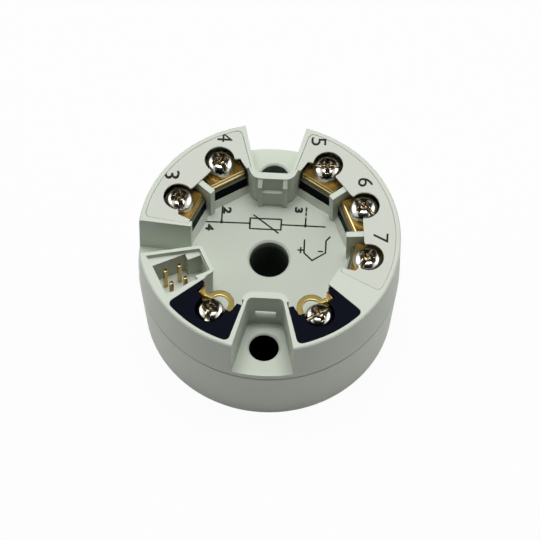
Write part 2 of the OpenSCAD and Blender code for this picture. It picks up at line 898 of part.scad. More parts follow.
// Pan-head screw with a slot through a cross recess
module screw(n) {
    color([0.78, 0.77, 0.72])
        at_terminal(n)
            translate([terminal_r, 0, 0])
                difference() {
                    rotate_extrude($fn = small_fn)
                        polygon(concat(
                            [[0, shank_end_z],
                            [screw_d / 2 - slip, shank_end_z],
                            [screw_d / 2, shank_end_z + slip],
                            [screw_d / 2, head_z],
                            [head_d / 2, head_z]],
                            arc([head_d / 2 - head_round, body_h - head_round],
                                head_round, 0, 90, corner_step),
                            [[0, body_h]]));
                    rotate([0, 0, slot_as[n - 1]]) {
                        translate([-head_d, -slot_w / 2, body_h - slot_depth])
                            cube([2 * head_d, slot_w, slot_depth + over]);
                        for (turn_a = [0, 90])
                            rotate([0, 0, turn_a])
                                translate([-cross_l / 2, -cross_w / 2, body_h - cross_depth])
                                    cube([cross_l, cross_w, cross_depth + over]);
                    }
                }
}

// Moulded base that holds the socket's contact pins
module pin_header() {
    color([0.78, 0.80, 0.74])
        slab(recess_z, body_h - socket_depth)
            difference() {
                socket_plan(-fit);
                contact_pin_plan(0);
            }
}

module contact_pins() {
    color([0.78, 0.62, 0.25])
        slab(board_z, body_h - step_depth)
            contact_pin_plan(0);
}

module circuit_board() {
    color([0.10, 0.35, 0.18])
        difference() {
            disc(cavity_r - slip, board_z, board_top);
            disc(bore_tube_r + slip, board_z - over, board_top + over);
            both_mounts()
                disc(mount_tube_r + slip, board_z - over, board_top + over);
            slab(board_z - over, board_top + over)
                contact_pin_plan(fit);
            for (n = [1 : 7])
                solder_pin(n, board_z - over, board_top + over, fit);
        }
}

// The transformer hangs under the board; its windows run along X
module at_transformer() {
    translate([-transformer_x, 0, board_z - core_h])
        children();
}

module core_block() {
    translate([-core_w / 2, -core_l / 2, 0])
        cube([core_w, core_l, core_h]);
}

module core_leg() {
    translate([-core_w / 2, -leg_w / 2, 0])
        cube([core_w, leg_w, core_h]);
}

module coil_block() {
    w = core_w + 2 * coil_t;
    l = leg_w + 2 * coil_t;
    translate([-w / 2, -l / 2, (core_h - coil_h) / 2])
        cube([w, l, coil_h]);
}

module transformer_core() {
    window_h = core_h - 2 * yoke_t;
    window_l = (core_l - leg_w) / 2 - yoke_t;
    color([0.22, 0.22, 0.24])
        at_transformer()
            difference() {
                core_block();
                for (side = [-1, 1])
                    translate([-core_w / 2 - over, side * (leg_w + window_l) / 2 - window_l / 2, yoke_t])
                        cube([core_w + 2 * over, window_l, window_h]);
            }
}

module transformer_coil() {
    color([0.72, 0.40, 0.18])
        at_transformer()
            difference() {
                coil_block();
                core_leg();
            }
}

module chip(x, y, w, l) {
    translate([x - w / 2, y - l / 2, board_top])
        cube([w, l, chip_h]);
}

module microcontroller() {
    color([0.12, 0.12, 0.13])
        chip(mcu_x, -mcu_y, mcu_w, mcu_w);
}

module converter_chips() {
    color([0.14, 0.14, 0.15])
        for (side = [-1, 1])
            chip(side * chip_x, chip_y, chip_l, chip_w);
}

module capacitor_row(grow) {
    for (a = [-cap_a, 0, cap_a])
        at_angle(a)
            translate([cap_r, 0, board_z - cap_h - grow])
                cylinder(d = cap_d + 2 * grow, h = cap_h + grow, $fn = small_fn);
}

module storage_capacitors() {
    color([0.30, 0.35, 0.55])
        capacitor_row(0);
}

// Casting resin that fills the lower shell up to the board
module potting_compound() {
    color([0.20, 0.20, 0.18])
        difference() {
            disc(shelf_r - fit, bottom_t, board_z);
            disc(bore_tube_r + fit, 0, board_z + over);
            both_mounts()
                disc(mount_tube_r + fit, 0, board_z + over);
            at_transformer() {
                core_block();
                coil_block();
            }
            capacitor_row(fit);
            for (n = [1 : 7])
                solder_pin(n, solder_end_z - fit, board_z + over, fit);
        }
}

lower_housing();
upper_housing();
label_plate(4, 3);  // label_plate_left
label_plate(7, 5);  // label_plate_right
front_carrier(1);  // carrier_1
front_carrier(2);  // carrier_2
carrier(3);  // carrier_3
carrier(4);  // carrier_4
carrier(5);  // carrier_5
carrier(6);  // carrier_6
carrier(7);  // carrier_7
front_contact_plate(1);  // contact_plate_1
front_contact_plate(2);  // contact_plate_2
contact_plate(3);  // contact_plate_3
contact_plate(4);  // contact_plate_4
contact_plate(5);  // contact_plate_5
contact_plate(6);  // contact_plate_6
contact_plate(7);  // contact_plate_7
front_clamp_plate(1);  // clamp_plate_1
front_clamp_plate(2);  // clamp_plate_2
clamp_plate(3);  // clamp_plate_3
clamp_plate(4);  // clamp_plate_4
clamp_plate(5);  // clamp_plate_5
clamp_plate(6);  // clamp_plate_6
clamp_plate(7);  // clamp_plate_7
screw(1);  // screw_1
screw(2);  // screw_2
screw(3);  // screw_3
screw(4);  // screw_4
screw(5);  // screw_5
screw(6);  // screw_6
screw(7);  // screw_7
lug_loop(1);  // lug_loop_1
lug_loop(2);  // lug_loop_2
pin_header();
contact_pins();
circuit_board();
transformer_core();
transformer_coil();
microcontroller();
converter_chips();
storage_capacitors();
potting_compound();
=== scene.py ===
"""Looks of a round head transmitter for temperature sensors.

The shells, plates and terminals come from the frame. This script gives them their finishes,
softens the moulded edges, models the terminal screws and the printed signs, and sets the
studio and the camera.
"""

import json
import logging
import math
from collections.abc import Callable
from dataclasses import dataclass, field
from enum import Enum

import bpy
from mathutils import Matrix, Vector


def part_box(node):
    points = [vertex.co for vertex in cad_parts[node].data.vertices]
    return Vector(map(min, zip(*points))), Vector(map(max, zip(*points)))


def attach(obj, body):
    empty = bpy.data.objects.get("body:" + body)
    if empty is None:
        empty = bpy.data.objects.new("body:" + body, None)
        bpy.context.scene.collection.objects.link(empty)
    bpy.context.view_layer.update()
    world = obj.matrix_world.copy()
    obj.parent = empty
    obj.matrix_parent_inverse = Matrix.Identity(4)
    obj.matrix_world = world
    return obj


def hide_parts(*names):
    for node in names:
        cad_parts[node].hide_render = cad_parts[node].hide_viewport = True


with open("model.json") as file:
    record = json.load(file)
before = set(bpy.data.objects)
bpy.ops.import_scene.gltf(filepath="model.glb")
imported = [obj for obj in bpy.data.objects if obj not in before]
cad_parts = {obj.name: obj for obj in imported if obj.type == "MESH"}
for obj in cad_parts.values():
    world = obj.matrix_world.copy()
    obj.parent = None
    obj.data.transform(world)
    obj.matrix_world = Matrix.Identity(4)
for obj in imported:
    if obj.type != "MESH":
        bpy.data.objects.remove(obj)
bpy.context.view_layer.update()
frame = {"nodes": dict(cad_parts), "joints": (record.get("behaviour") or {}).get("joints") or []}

LOG = logging.getLogger("head_transmitter")
MM = 0.001
TERMINALS = 7
# Terminals 1 and 2 stand at the front and have navy carriers and lug loops
FRONT_TERMINALS = 2
# How near to a plane a face's middle has to lie to count as in it
TOUCH = 0.01 * MM
# How far a cutter stands out of the piece that it cuts
OVERRUN = MM
# What a softened copy is merged and thinned by, and how sharp an edge is that gets rounded
MERGE_DISTANCE = 0.002 * MM
FLAT_ANGLE = math.radians(0.6)
EDGE_ANGLE = math.radians(28)
# How faces are shaded over their shared edges
SMOOTH_ANGLE = math.radians(30)
NORMAL_WEIGHT = 80
WHITE = (1.0, 1.0, 1.0, 1.0)

Number = float | int
Point = tuple[float, float]
Colour = tuple[float, float, float]
# Tells of the middle of a face or an edge whether it is picked
Pick = Callable[[Vector], bool]


class Slot(Enum):
    """The record's material slots, which are passed with the new pieces but not used."""

    HOUSING = "housing_plastic"
    LABEL = "label_plastic"
    CARRIER_BLACK = "carrier_black"
    CARRIER_NAVY = "carrier_navy"
    BRASS = "contact_brass"
    NICKEL = "screw_nickel"
    PIN = "pin_gold"


class Graph:
    """The node tree of a material or a world, with one method that adds any node."""

    def __init__(self, owner: bpy.types.Material | bpy.types.World) -> None:
        """Starts with an empty tree.

        Args:
            owner: The material or world that the tree belongs to.
        """
        owner.use_nodes = True
        self.tree = owner.node_tree
        self.tree.nodes.clear()

    def node(self, kind: str, settings: dict | None = None, inputs: dict | None = None,
             output: int | str = 0) -> "Wire":
        """Adds a node, sets it and connects it.

        Args:
            kind: The node's type.
            settings: Attributes, which are set first.
            inputs: Values or wires by socket name or number.
            output: The output that the wire leaves from.

        Returns:
            A wire from that output.
        """
        made = self.tree.nodes.new(kind)
        for key, value in (settings or {}).items():
            setattr(made, key, value)
        for key, value in (inputs or {}).items():
            if isinstance(value, Wire):
                self.tree.links.new(value.socket, made.inputs[key])
            else:
                made.inputs[key].default_value = value
        return Wire(self, made.outputs[output]) if len(made.outputs) else Wire(self, None)

    def mix(self, factor: "Wire | float", first: "Wire | tuple", second: "Wire | tuple") -> "Wire":
        """Returns the mix of two colours; the factor is the share of the second."""
        return self.node("ShaderNodeMix", {"data_type": "RGBA"},
                         {0: factor, 6: first, 7: second}, output=2)

    def mix_shaders(self, factor: "Wire", first: "Wire", second: "Wire") -> "Wire":
        """Returns the mix of two shaders; the factor is the share of the second."""
        return self.node("ShaderNodeMixShader", None, {0: factor, 1: first, 2: second})

    def seen(self) -> "Wire":
        """Tells the rays that show the background.

        Returns:
            1 for rays from the camera, a gloss or a glass, 0 for others.
        """
        camera, glossy, transmission = (
            self.node("ShaderNodeLightPath", output=f"Is {ray} Ray")
            for ray in ("Camera", "Glossy", "Transmission"))
        return camera + glossy + transmission

    def place(self) -> "Wire":
        """Returns the place on the piece, in metres."""
        return self.node("ShaderNodeTexCoord", output="Object")

    def noise(self, scale: float, detail: float) -> "Wire":
        """Returns a noise from 0 to 1 by its waves to the metre and its finer octaves."""
        return self.node("ShaderNodeTexNoise", None,
                         {"Vector": self.place(), "Scale": scale, "Detail": detail})


@dataclass(frozen=True)
class Wire:
    """A socket that takes part in sums, so that shader maths reads as arithmetic."""

    graph: Graph
    socket: bpy.types.NodeSocket | None

    def _math(self, operation: str, first: "Wire | Number", second: "Wire | Number") -> "Wire":
        """Adds a Math node for one operation on two values."""
        return self.graph.node("ShaderNodeMath", {"operation": operation}, {0: first, 1: second})

    def __add__(self, other: "Wire | Number") -> "Wire":
        """Returns self + other."""
        return self._math("ADD", self, other)

    def __radd__(self, other: Number) -> "Wire":
        """Returns other + self."""
        return self._math("ADD", other, self)

    def __sub__(self, other: "Wire | Number") -> "Wire":
        """Returns self - other."""
        return self._math("SUBTRACT", self, other)

    def __rsub__(self, other: Number) -> "Wire":
        """Returns other - self."""
        return self._math("SUBTRACT", other, self)

    def __mul__(self, other: "Wire | Number") -> "Wire":
        """Returns self * other."""
        return self._math("MULTIPLY", self, other)

    def __rmul__(self, other: Number) -> "Wire":
        """Returns other * self."""
        return self._math("MULTIPLY", other, self)

    def clamped(self) -> "Wire":
        """Returns the value held between 0 and 1."""
        return self.graph.node("ShaderNodeClamp", None, {"Value": self})


@dataclass(frozen=True)
class PaintedShadeWell:
    """A round hole or recess painted in shade from its mouth down: a matt dark tone that stands in
    for the shade inside it.
    """

    x: float
    y: float
    radius: float
    mouth: float
    depth: float
    colour: Colour = (0.004, 0.004, 0.0035)
    sharpness: float = 1e8

    def mask(self, graph: Graph) -> Wire:
        """Tells the inside of the well.

        Args:
            graph: The tree that the nodes go into.

        Returns:
            0 outside the well, rising to 1 down its wall.
        """
        place = graph.place()
        x, y, z = (graph.node("ShaderNodeSeparateXYZ", None, {"Vector": place}, output=axis)
                   for axis in "XYZ")
        across, along = x - self.x, y - self.y
        inside = (self.radius ** 2 - (across * across + along * along)) * self.sharpness
        down = (self.mouth - z) * (1 / self.depth)
        return inside.clamped() * down.clamped()


@dataclass(frozen=True)
class Finish:
    """A surface: its colour, gloss, and the fine relief that catches the light."""

    name: str
    colour: Colour
    roughness: float
    metallic: float = 0.0
    mottle: float = 0.04
    mottle_scale: float = 90.0
    mottle_detail: float = 3.0
    grain_scale: float = 5200.0
    grain_detail: float = 4.0
    grain_depth: float = 0.000012
    grain_strength: float = 0.25
    roughness_swing: float = 0.08
    specular: float = 0.5
    painted_shades: tuple[PaintedShadeWell, ...] = ()

    def material(self) -> bpy.types.Material:
        """Returns the finish as a material, made once."""
        known = bpy.data.materials.get(self.name)
        return known or self._made()

    def _made(self) -> bpy.types.Material:
        """Builds the node tree.

        Returns:
            The new material.
        """
        material = bpy.data.materials.new(self.name)
        graph = Graph(material)
        cloud = graph.noise(self.mottle_scale, self.mottle_detail)
        grain = graph.noise(self.grain_scale, self.grain_detail)
        dark = (*[c * (1 - self.mottle) for c in self.colour], 1.0)
        light = (*[min(1.0, c * (1 + self.mottle)) for c in self.colour], 1.0)
        colour = graph.mix(cloud, dark, light)
        roughness = self.roughness + (cloud - 0.5) * self.roughness_swing
        relief = graph.node("ShaderNodeBump", None,
                            {"Strength": self.grain_strength, "Distance": self.grain_depth,
                             "Height": grain})
        surface = graph.node("ShaderNodeBsdfPrincipled", None,
                             {"Base Color": colour, "Roughness": roughness,
                              "Metallic": self.metallic, "Normal": relief,
                              "Specular IOR Level": self.specular})
        # Painted shade: each hole mixes a matt dark tone into the surface down its wall
        for well in self.painted_shades:
            matt = graph.node("ShaderNodeBsdfDiffuse", None, {"Color": (*well.colour, 1)})
            surface = graph.mix_shaders(well.mask(graph), surface, matt)
        graph.node("ShaderNodeOutputMaterial", None, {"Surface": surface})
        return material


def terminal_place(n: int) -> Point:
    """Returns where terminal n stands, from the joint of its screw."""
    joint = next(j for j in frame["joints"] if j["name"] == f"screw_turn_{n}")
    return joint["pos_m"][0], joint["pos_m"][1]


# Distance of the mounting holes from the centre
MOUNT_Y = 16.5 * MM
# Painted shade: the middle floor takes a darker grey, which stands in for the shade in its recess
MIDDLE_FLOOR_SHADE = PaintedShadeWell(0, 0, 12.9 * MM, 16.8 * MM, 0.3 * MM, (0.495, 0.535, 0.465))
# Painted shade: the centre bore and the mounting holes darken from their mouths down, which stands
# in for the shade deep in them
CENTRE_BORE_SHADE = PaintedShadeWell(0, 0, 3.6 * MM, 16.06 * MM, 1.6 * MM, (0.085, 0.1, 0.088))
BACK_HOLE_SHADE = PaintedShadeWell(0, MOUNT_Y, 3.0 * MM, 15.1 * MM, 0.12 * MM, (0.2, 0.23, 0.21))
FRONT_HOLE_SHADE = PaintedShadeWell(0, -MOUNT_Y, 3.0 * MM, 15.1 * MM, 0.12 * MM, (0.001, 0.001, 0.001))
# Painted shade: the pockets of the screws 3 to 7 darken to near black below the heads
POCKET_SHADES = tuple(PaintedShadeWell(*terminal_place(n), 3.3 * MM, 23.6 * MM, 0.5 * MM)
                for n in range(FRONT_TERMINALS + 1, TERMINALS + 1))

HOUSING = Finish("housing grey", (0.565, 0.61, 0.53), 0.5, mottle=0.02, specular=0.35,
                 painted_shades=(MIDDLE_FLOOR_SHADE, CENTRE_BORE_SHADE, BACK_HOLE_SHADE, FRONT_HOLE_SHADE, *POCKET_SHADES))
LABEL = Finish("label grey", (0.56, 0.58, 0.515), 0.45, mottle=0.012, grain_depth=0.000006,
               specular=0.35)
BLACK = Finish("carrier black", (0.004, 0.005, 0.006), 0.3, mottle=0.2, grain_depth=0.000003,
               specular=0.005)
# Painted highlight: the paler olive top of the black carriers
HIGHLIGHT_TOP = Finish("carrier top with painted highlight", (0.075, 0.08, 0.058), 0.5, mottle=0.1, specular=0.1)
NAVY = Finish("carrier navy", (0.003, 0.004, 0.009), 0.4, mottle=0.15, specular=0.04)
# Painted light: a pale brass for the plates' chamfers, a painted highlight, and a dark brass for
# their top faces, a painted dark reflection
BRASS = Finish("brass chamfer with painted highlight", (0.95, 0.80, 0.42), 0.24, metallic=1.0, mottle=0.06,
               mottle_scale=300.0, grain_depth=0.0000008)
PAINTED_DARK_TOP_BRASS = Finish("brass top with painted dark reflection", (0.42, 0.25, 0.06), 0.3, metallic=1.0, mottle=0.12,
                mottle_scale=500.0, grain_depth=0.000001)
SATIN = Finish("satin brass", (0.80, 0.60, 0.20), 0.55, metallic=1.0, mottle=0.06,
               mottle_scale=500.0, grain_depth=0.000001)
LOOP = Finish("stamped brass", (0.62, 0.48, 0.16), 0.34, metallic=1.0, mottle=0.06,
              mottle_scale=400.0, grain_depth=0.000001)
DARKER_BRASS = Finish("darker brass", (0.20, 0.13, 0.05), 0.35, metallic=1.0, mottle=0.15,
             mottle_scale=900.0, grain_depth=0.000001)
NICKEL = Finish("nickel plate", (0.60, 0.58, 0.52), 0.17, metallic=1.0, mottle=0.05,
                mottle_scale=700.0, grain_depth=0.000001, roughness_swing=0.05)
# Painted shade: a darker brown metal for the recess below the screw's dome
PAINTED_SHADE_RECESS = Finish("recess with painted shade", (0.34, 0.29, 0.20), 0.2, metallic=1.0, mottle=0.25,
                mottle_scale=1600.0, grain_depth=0.000003)
GOLD = Finish("gold plate", (0.46, 0.31, 0.11), 0.26, metallic=1.0, mottle=0.06,
              mottle_scale=900.0, grain_depth=0.000001)
INK = Finish("print grey", (0.018, 0.019, 0.018), 0.55, mottle=0.15, grain_scale=9000.0,
             specular=0.2)
LAMINATE = Finish("board green", (0.02, 0.13, 0.055), 0.3, mottle=0.1)
FERRITE = Finish("ferrite grey", (0.045, 0.045, 0.05), 0.6, mottle=0.15)
COPPER = Finish("copper wire", (0.62, 0.26, 0.12), 0.28, metallic=1.0, mottle=0.15)
CHIP = Finish("chip black", (0.02, 0.02, 0.022), 0.55, mottle=0.1)
SLEEVE = Finish("capacitor sleeve", (0.05, 0.07, 0.2), 0.3, mottle=0.08)
RESIN = Finish("casting resin", (0.03, 0.03, 0.027), 0.16, mottle=0.2)


class Bench:
    """Edit-mode work on one mesh piece: picks faces or edges by place and shapes them."""

    def __init__(self, piece: bpy.types.Object) -> None:
        """Takes in hand a mesh piece whose object matrix is the identity."""
        self.piece = piece

    @classmethod
    def cylinder(cls, name: str, radius: float, z0: float, z1: float, sides: int) -> "Bench":
        """Starts a piece from a cylinder that stands on the Z axis.

        Args:
            name: The piece's name.
            radius: Its radius.
            z0: Height of its bottom.
            z1: Height of its top.
            sides: Number of sides.

        Returns:
            The bench with the new piece.
        """
        bpy.ops.object.select_all(action="DESELECT")
        bpy.ops.mesh.primitive_cylinder_add(vertices=sides, radius=radius, depth=z1 - z0,
                                            location=(0, 0, (z0 + z1) / 2))
        return cls._named(name)

    @classmethod
    def block(cls, name: str, low: Vector, high: Vector) -> "Bench":
        """Starts a piece from a box between two corners.

        Args:
            name: The piece's name.
            low: The lowest corner.
            high: The highest corner.

        Returns:
            The bench with the new piece.
        """
        bpy.ops.object.select_all(action="DESELECT")
        bpy.ops.mesh.primitive_cube_add(size=1, location=(low + high) / 2)
        bpy.context.object.scale = high - low
        return cls._named(name)

    @classmethod
    def _named(cls, name: str) -> "Bench":
        """Names the active object and moves its place into its mesh.

        Args:
            name: The piece's name.

        Returns:
            The bench with the piece.
        """
        piece = bpy.context.object
        piece.name = name
        piece.data.name = name
        bpy.ops.object.transform_apply(location=True, rotation=True, scale=True)
        return cls(piece)

    def activate(self) -> None:
        """Makes the piece the only selected and active object."""
        bpy.ops.object.select_all(action="DESELECT")
        self.piece.select_set(True)
        bpy.context.view_layer.objects.active = self.piece

    def pick_faces(self, wanted: Pick) -> None:
        """Selects the faces whose middles lie where wanted says.

        Args:
            wanted: Tells of a face's middle whether the face is picked.
        """
        self._clear("FACE")
        for polygon in self.piece.data.polygons:
            polygon.select = wanted(polygon.center)

    def pick_edges(self, wanted: Pick) -> None:
        """Selects the edges whose middles lie where wanted says.

        Args:
            wanted: Tells of an edge's middle whether the edge is picked.
        """
        self._clear("EDGE")
        corners = self.piece.data.vertices
        for edge in self.piece.data.edges:
            start, end = (corners[i].co for i in edge.vertices)
            edge.select = wanted((start + end) / 2)

    def _clear(self, mode: str) -> None:
        """Deselects the whole mesh and leaves it in object mode.

        Args:
            mode: What is picked next, "FACE" or "EDGE".
        """
        self.activate()
        bpy.ops.object.mode_set(mode="EDIT")
        bpy.ops.mesh.select_mode(type=mode)
        bpy.ops.mesh.select_all(action="DESELECT")
        bpy.ops.object.mode_set(mode="OBJECT")

    def shape(self, *steps: Callable[[], object]) -> "Bench":
        """Runs edit-mode steps on what is picked.

        Args:
            steps: Calls of edit-mode operators, in order.

        Returns:
            This bench.
        """
        self.activate()
        bpy.ops.object.mode_set(mode="EDIT")
        for step in steps:
            step()
        bpy.ops.object.mode_set(mode="OBJECT")
        return self

    def modify(self, kind: str, **settings: object) -> "Bench":
        """Adds a modifier and applies it.

        Args:
            kind: The modifier's type.
            settings: Its settings.

        Returns:
            This bench.
        """
        self.activate()
        modifier = self.piece.modifiers.new(kind.lower(), kind)
        for key, value in settings.items():
            setattr(modifier, key, value)
        bpy.ops.object.modifier_apply(modifier=modifier.name)
        return self

    def cut(self, cutter: "Bench") -> "Bench":
        """Cuts the piece with another, which is used up.

        Args:
            cutter: The piece that is taken away.

        Returns:
            This bench.
        """
        self.modify("BOOLEAN", operation="DIFFERENCE", object=cutter.piece, solver="EXACT")
        bpy.data.objects.remove(cutter.piece)
        return self

    def place(self, matrix: Matrix) -> "Bench":
        """Moves the mesh itself, so that the object stays at the origin.

        Args:
            matrix: Where the piece goes.

        Returns:
            This bench.
        """
        self.piece.data.transform(matrix)
        self.piece.data.update()
        return self

    def smooth(self) -> "Bench":
        """Shades the piece smooth, but for its sharp edges.

        Returns:
            This bench.
        """
        self.activate()
        bpy.ops.object.shade_smooth_by_angle(angle=SMOOTH_ANGLE)
        return self

    def copied(self, name: str) -> "Bench":
        """Copies the piece with a mesh of its own.

        Args:
            name: The copy's name.

        Returns:
            The bench with the copy.
        """
        twin = self.piece.copy()
        twin.data = self.piece.data.copy()
        twin.name = name
        bpy.context.scene.collection.objects.link(twin)
        return Bench(twin)

    def inlaid(self, finish: Finish, *inlays: tuple[Finish, Pick]) -> "Bench":
        """Dresses the piece in several finishes.

        Args:
            finish: The finish of the whole.
            inlays: Other finishes, each with what tells of a face's middle whether it takes it.

        Returns:
            This bench.
        """
        mesh = self.piece.data
        mesh.materials.clear()
        for each in (finish, *(inlay for inlay, _ in inlays)):
            mesh.materials.append(each.material())
        for polygon in mesh.polygons:
            polygon.material_index = next(
                (i for i, (_, wanted) in enumerate(inlays, 1) if wanted(polygon.center)), 0)
        return self

    def finished(self, finish: Finish | None, body: str, slot: Slot | None = None,
                 stands_for: str | None = None) -> None:
        """Dresses the piece and hangs it on its body.

        Args:
            finish: Its finish, or nothing for a piece that is dressed already.
            body: The body that it rides on.
            slot: The record's material slot of the piece; not used.
            stands_for: The frame node that it replaces.
        """
        if finish:
            self.piece.data.materials.clear()
            self.piece.data.materials.append(finish.material())
        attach(self.piece, body)
        if stands_for:
            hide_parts(stands_for)
        LOG.info("made %s on %s", self.piece.name, body)


def dress(node: str, finish: Finish) -> None:
    """Gives a frame node its finish.

    Args:
        node: The node's name.
        finish: The finish.
    """
    mesh = frame["nodes"][node].data
    mesh.materials.clear()
    mesh.materials.append(finish.material())
    LOG.info("dressed %s with %s", node, finish.name)


def softened(node: str, name: str, width: float, segments: int = 2) -> Bench:
    """Copies a frame node and rounds its sharp edges a little, as a mould leaves them.

    Args:
        node: The node that is copied.
        name: The copy's name.
        width: Width of the rounding.
        segments: How many faces make it, one for a sheared edge.

    Returns:
        The bench with the softened copy.
    """
    twin = bpy.data.objects.new(name, frame["nodes"][node].data.copy())
    bpy.context.scene.collection.objects.link(twin)
    bench = Bench(twin)
    bench.shape(
        lambda: bpy.ops.mesh.select_all(action="SELECT"),
        lambda: bpy.ops.mesh.remove_doubles(threshold=MERGE_DISTANCE),
        lambda: bpy.ops.mesh.dissolve_limited(angle_limit=FLAT_ANGLE))
    bench.modify("BEVEL", width=width, segments=segments, limit_method="ANGLE",
                 angle_limit=EDGE_ANGLE, use_clamp_overlap=True, miter_outer="MITER_ARC")
    return bench.smooth().modify("WEIGHTED_NORMAL", weight=NORMAL_WEIGHT, keep_sharp=True)


@dataclass
class HousingShells:
    """The two moulded shells and the label plates."""

    edge: float = 0.09 * MM
    label_edge: float = 0.05 * MM

    def build(self) -> None:
        """Softens and dresses the shells and the label plates."""
        for node in ("upper_housing", "lower_housing"):
            softened(node, node + "_moulded", self.edge).finished(
                HOUSING, "housing", Slot.HOUSING, node)
        for node in ("label_plate_left", "label_plate_right"):
            softened(node, node + "_moulded", self.label_edge).finished(
                LABEL, "housing", Slot.LABEL, node)


@dataclass
class TerminalScrew:
    """A pan-head screw with a slot through a cross recess."""

    head_radius: float = 2.46 * MM
    head_height: float = 2.05 * MM
    rim_height: float = 0.35 * MM
    fullness: float = 2.4
    slot_width: float = 0.75 * MM
    slot_depth: float = 0.75 * MM
    cross_width: float = 0.98 * MM
    cross_reach: float = 1.75 * MM
    cross_depth: float = 1.4 * MM
    star_width: float = 0.55 * MM
    star_reach: float = 1.1 * MM
    star_depth: float = 0.9 * MM
    arm_taper: tuple[float, float] = (0.42, 0.45)
    arm_overrun: float = 0.3 * MM
    recess_drop: float = 0.16 * MM
    shank_radius: float = 1.5 * MM
    edge: float = 0.07 * MM
    edge_steps: int = 2
    edge_angle: float = math.radians(40)
    dome_steps: int = 9
    crown_share: float = 0.4
    sides: int = 64

    def build(self, foot: float, seat: float) -> Bench:
        """Models the screw on the Z axis.

        Args:
            foot: Height of the shank's end.
            seat: Height of the head's underside.

        Returns:
            The bench with the screw.
        """
        top, rim = seat + self.head_height, seat + self.rim_height
        bench = Bench.cylinder("terminal_screw", self.head_radius, seat, rim, self.sides)
        bench.pick_faces(lambda c: c.z > rim - TOUCH)
        profile = [self._dome(math.pi / 2 * i / (self.dome_steps + self.crown_share))
                   for i in range(self.dome_steps + 1)]
        steps = []
        for (out, height), (next_out, next_height) in zip(profile, profile[1:]):
            lift, ratio = next_height - height, next_out / out
            steps.append(lambda lift=lift: bpy.ops.mesh.extrude_region_move(
                TRANSFORM_OT_translate={"value": (0, 0, lift)}))
            steps.append(lambda ratio=ratio: bpy.ops.transform.resize(
                value=(ratio, ratio, 1), center_override=(0, 0, top)))
        bench.shape(*steps)
        bench.pick_faces(lambda c: c.z < seat + TOUCH)
        bench.shape(
            lambda: bpy.ops.mesh.inset(thickness=self.head_radius - self.shank_radius),
            lambda: bpy.ops.mesh.extrude_region_move(
                TRANSFORM_OT_translate={"value": (0, 0, foot - seat)}))
        bench.cut(self._slot(top))
        for turn in (0.0, 90.0):
            bench.cut(self._wing(top, turn, self.cross_reach, self.cross_width,
                                 self.cross_depth))
        for turn in (45.0, 135.0):
            bench.cut(self._wing(top, turn, self.star_reach, self.star_width, self.star_depth))
        bench.modify("BEVEL", width=self.edge, segments=self.edge_steps, limit_method="ANGLE",
                     angle_limit=self.edge_angle, use_clamp_overlap=True)
        # Painted shade: the recess below the dome takes a darker brown metal
        return bench.smooth().inlaid(NICKEL, (PAINTED_SHADE_RECESS, lambda c: self._in_recess(c, seat)))

    def _dome(self, angle: float) -> Point:
        """Follows the dome's outline.

        Args:
            angle: How far round from the rim to the crown, in radians.

        Returns:
            The outline's radius and its height over the rim.
        """
        power = 2 / self.fullness
        rise = self.head_height - self.rim_height
        return (self.head_radius * math.cos(angle) ** power, rise * math.sin(angle) ** power)

    def _in_recess(self, place: Vector, seat: float) -> bool:
        """Tells whether a place lies in the recess, below the dome.

        The slot's floor counts out to the rim, so that it doesn't matter how the cuts join or
        split its faces.

        Args:
            place: The place.
            seat: Height of the head's underside.

        Returns:
            Whether it does.
        """
        slot_floor = seat + self.head_height - self.slot_depth
        if abs(place.z - slot_floor) < TOUCH and abs(place.y) < self.slot_width / 2:
            return True
        out = math.hypot(place.x, place.y)
        if out > self.cross_reach or place.z < seat:
            return False
        rise = self.head_height - self.rim_height
        share = (1 - (out / self.head_radius) ** self.fullness) ** (1 / self.fullness)
        return place.z < seat + self.rim_height + rise * share - self.recess_drop

    def _slot(self, top: float) -> Bench:
        """Makes the cutter for the slot, which runs across the whole head.

        Args:
            top: Height of the head's crown.

        Returns:
            The bench with the cutter.
        """
        reach = self.head_radius + OVERRUN
        return Bench.block("slot_cutter",
                           Vector((-reach, -self.slot_width / 2, top - self.slot_depth)),
                           Vector((reach, self.slot_width / 2, top + OVERRUN)))

    def _wing(self, top: float, turn: float, reach: float, width: float, depth: float) -> Bench:
        """Makes the cutter for one arm pair of the recess, tapered towards its bottom.

        Args:
            top: Height of the head's crown.
            turn: Direction of the arms in degrees.
            reach: How far the arms go out at the crown.
            width: Width of an arm at the crown.
            depth: Depth of the recess.

        Returns:
            The bench with the cutter.
        """
        bench = Bench.block("wing_cutter", Vector((-reach, -width / 2, top - depth)),
                            Vector((reach, width / 2, top + self.arm_overrun)))
        bench.pick_faces(lambda c: c.z < top - depth + TOUCH)
        bench.shape(lambda: bpy.ops.transform.resize(
            value=(*self.arm_taper, 1), center_override=(0, 0, top)))
        return bench.place(Matrix.Rotation(math.radians(turn), 4, "Z"))


